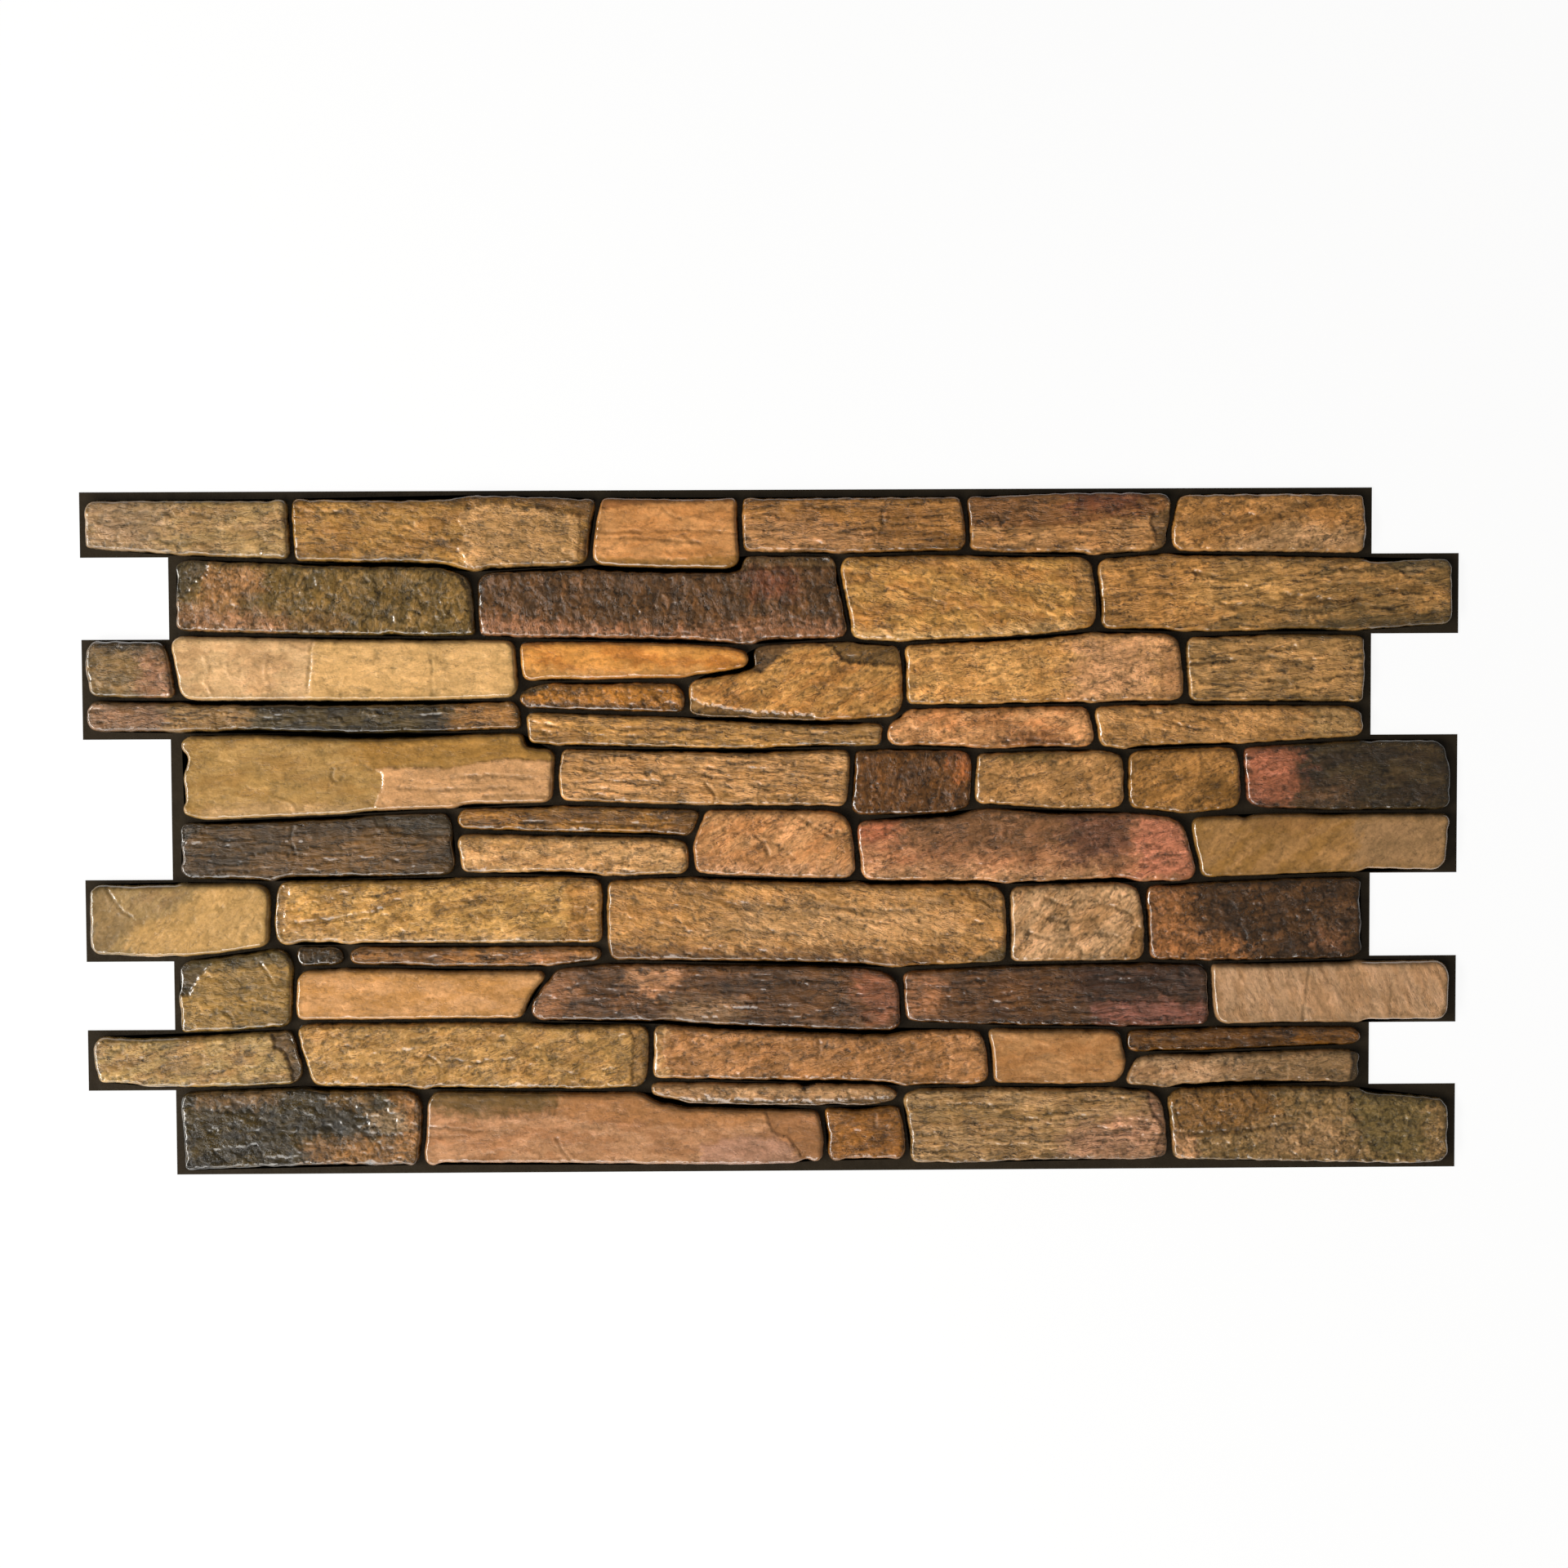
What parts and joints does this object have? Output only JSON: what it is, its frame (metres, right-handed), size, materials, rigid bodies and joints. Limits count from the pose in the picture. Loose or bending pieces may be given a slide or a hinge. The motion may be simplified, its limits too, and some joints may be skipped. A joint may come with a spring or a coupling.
{
  "type": "wall cladding panel",
  "caption": "Thin vacuum-formed wall panel with moulded stacked stones on a flat flange, hollow at the back, with stepped ends that interlock with equal panels.",
  "frame": {"origin": "middle of the panel's outline, on the back plane of the flange that rests on the wall", "axes": "+X along the length, +Y up the wall across the courses, +Z out of the wall towards the room"},
  "size_m": [0.9794, 0.487, 0.0094],
  "materials": {
    "printed_sheet": "satin printed film, tan, ochre, pink and brown stones on a near-black flange"
  },
  "bodies": {
    "root": {"moulded_sheet": "printed_sheet"}
  },
  "joints": []
}
